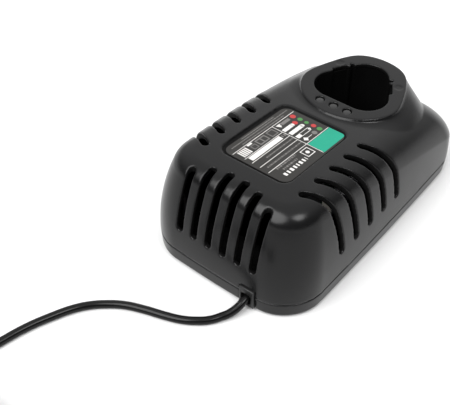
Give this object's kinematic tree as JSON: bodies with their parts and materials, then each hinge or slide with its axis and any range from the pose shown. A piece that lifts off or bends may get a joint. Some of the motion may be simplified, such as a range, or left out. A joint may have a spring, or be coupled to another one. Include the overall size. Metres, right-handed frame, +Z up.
{
  "type": "power tool battery charger",
  "caption": "Desktop charger with a slotted, round-shouldered housing, a raised three-lobed battery socket, a recessed label and a mains cord",
  "frame": {"origin": "middle of the rest plane below the housing, without the cord", "axes": "+Z up, -Y the end where the cord leaves, +Y the end with the battery socket, +X the right long side seen from the cord end"},
  "size_m": [0.1338, 0.3396, 0.0588],
  "materials": {
    "housing": "fine satin texture, near black",
    "well": "dull black moulding",
    "black_moulding": "dull black moulding",
    "contact_metal": "plain rolled metal",
    "screw_steel": "zinc plated",
    "label": "brownish black printed film",
    "light_pipe": "smoked clear plastic",
    "led_body": "clear tinted resin",
    "board": "green solder mask",
    "ferrite": "dark sintered ferrite",
    "winding_tape": "yellow tape over the winding",
    "capacitor_sleeve": "shrunk plastic sleeve",
    "film_box": "moulded box",
    "fuse_body": "moulded box",
    "varistor_coat": "dipped coating",
    "chip_body": "moulded epoxy",
    "heatsink": "extruded metal",
    "header": "moulded connector",
    "mains_wire": "insulated wire",
    "contact_wire": "insulated wire",
    "gland": "satin moulding",
    "cord_jacket": "smooth flexible jacket",
    "feet": "soft rubber",
    "tie": "woven strap",
    "plug": "moulded flexible plug",
    "pin_metal": "plated pins, bare to the tip"
  },
  "bodies": {
    "root": {"top_housing": "housing", "base_housing": "housing", "battery_well": "well", "terminal_block": "black_moulding", "contact_blades": "contact_metal", "terminal_screws": "screw_steel", "label_plate": "label", "light_pipes": "light_pipe", "indicator_leds": "led_body", "circuit_board": "board", "transformer_core": "ferrite", "transformer_winding": "winding_tape", "bulk_capacitor": "capacitor_sleeve", "output_capacitors": "capacitor_sleeve", "line_filter": "ferrite", "x_capacitor": "film_box", "fuse": "fuse_body", "varistor": "varistor_coat", "bridge_rectifier": "chip_body", "heatsink": "heatsink", "power_transistors": "chip_body", "controller_chip": "chip_body", "mains_header": "header", "output_header": "header", "mains_wires": "mains_wire", "contact_wires": "contact_wire", "cord_gland": "gland", "inner_jacket": "cord_jacket", "cord_clamp": "black_moulding", "clamp_screws": "screw_steel", "housing_screws": "screw_steel", "board_screws": "screw_steel", "rubber_feet": "feet", "mains_cord": "cord_jacket", "cord_coil": "cord_jacket", "cord_tail": "cord_jacket", "cord_tie": "tie", "plug_body": "plug", "plug_pins": "pin_metal"}
  },
  "joints": []
}
